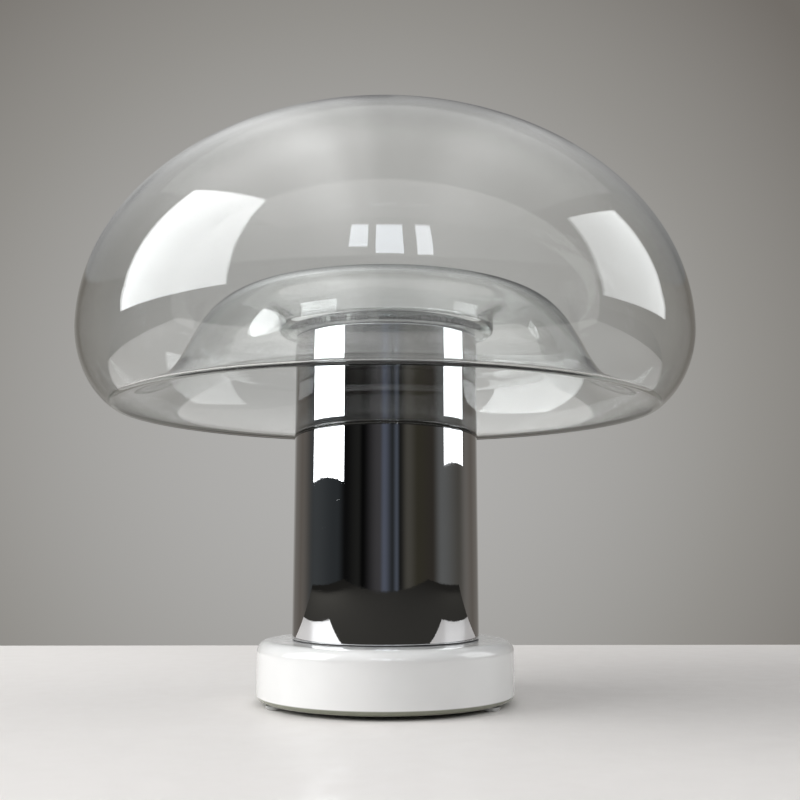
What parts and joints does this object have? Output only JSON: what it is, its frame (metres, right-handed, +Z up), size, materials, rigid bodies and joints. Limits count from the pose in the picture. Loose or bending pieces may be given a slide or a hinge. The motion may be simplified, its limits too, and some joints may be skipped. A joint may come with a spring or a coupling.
{
  "type": "table lamp",
  "caption": "Mushroom table lamp: a clear blown glass shade with a dome pushed up into it stands loose on a straight mirror chrome column over a white opal glass drum base.",
  "frame": {"origin": "on the table under the middle of the base", "axes": "+Z up the column's axis, -Y towards the front"},
  "size_m": [0.4, 0.4, 0.3825],
  "materials": {
    "clear_glass": "clear blown glass, polished",
    "opal_glass": "white cased opal glass, glossy",
    "chrome": "mirror chrome, lightly scratched",
    "steel": "zinc plated steel",
    "cast_iron": "painted casting",
    "brass": "plain brass",
    "black_rubber": "matt black rubber",
    "clear_rubber": "clear soft polyurethane",
    "gasket_rubber": "thin dark rubber",
    "phenolic": "black moulded phenolic",
    "ceramic": "white steatite",
    "opal_bulb": "frosted white bulb glass",
    "bulb_metal": "bright aluminium",
    "black_glass": "black insulator glass"
  },
  "bodies": {
    "lamp": {"base_glass": "opal_glass", "bumper_feet": "clear_rubber", "cover_plate": "steel", "cover_nut": "steel", "base_weight": "cast_iron", "weight_pad": "black_rubber", "clamp_washer": "steel", "clamp_nut": "steel", "tie_rod": "steel", "column_pad": "gasket_rubber", "column_tube": "chrome", "foot_disc": "steel", "foot_disc_nut": "steel", "seat_ring": "steel", "shade_gasket": "gasket_rubber", "cord_bush": "black_rubber", "bridge_lugs": "steel", "bridge_plate": "steel", "bridge_screws": "steel", "bridge_nuts": "steel", "earth_tag": "brass", "earth_screw": "brass", "holder_cap": "phenolic", "holder_shell": "phenolic", "contact_block": "ceramic", "terminal_screws": "brass", "screw_shell": "brass", "centre_contact": "brass"},
    "bulb": {"bulb_glass": "opal_bulb", "bulb_cap": "bulb_metal", "bulb_insulator": "black_glass", "bulb_tip": "bulb_metal"},
    "shade": {"glass_shade": "clear_glass"}
  },
  "joints": [
    {"name": "shade_lift", "type": "slide", "parent": "lamp", "child": "shade", "axis": [0, 0, 1], "range_m": [0, 0.12]},
    {"name": "bulb_unscrew", "type": "slide", "parent": "lamp", "child": "bulb", "axis": [0, 0, 1], "range_m": [0, 0.03]}
  ]
}
